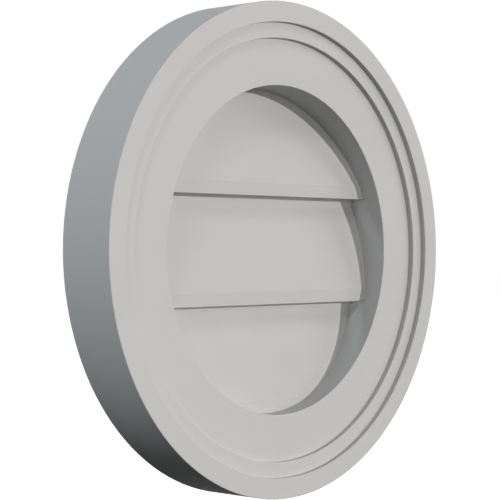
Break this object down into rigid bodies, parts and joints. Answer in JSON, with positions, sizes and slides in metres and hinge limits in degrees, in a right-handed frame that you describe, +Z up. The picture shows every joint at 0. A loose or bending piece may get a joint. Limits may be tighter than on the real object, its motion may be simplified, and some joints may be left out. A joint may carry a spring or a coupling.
{
  "type": "gable vent",
  "caption": "Round surface-mount gable vent: a thick ring with a stepped brickmould front, fixed sloping louvres in its bore and a wire screen stapled into its back.",
  "frame": {"origin": "centre of the back of the ring, in the plane of the wall that the vent is fixed to", "axes": "+X to the right of the vent, +Y into the wall, +Z up; the front faces -Y"},
  "size_m": [0.3048, 0.0381, 0.3048],
  "materials": {
    "frame_pvc": "smooth matt cellular PVC, unpainted off-white",
    "louvre_pvc": "smooth matt PVC sheet, the same off-white",
    "screen_wire": "bright drawn aluminium wire",
    "staple_steel": "galvanised steel"
  },
  "bodies": {
    "root": {"frame_ring": "frame_pvc", "louvre_bottom": "louvre_pvc", "louvre_middle": "louvre_pvc", "louvre_top": "louvre_pvc", "insect_screen": "screen_wire", "screen_staples": "staple_steel"}
  },
  "joints": []
}
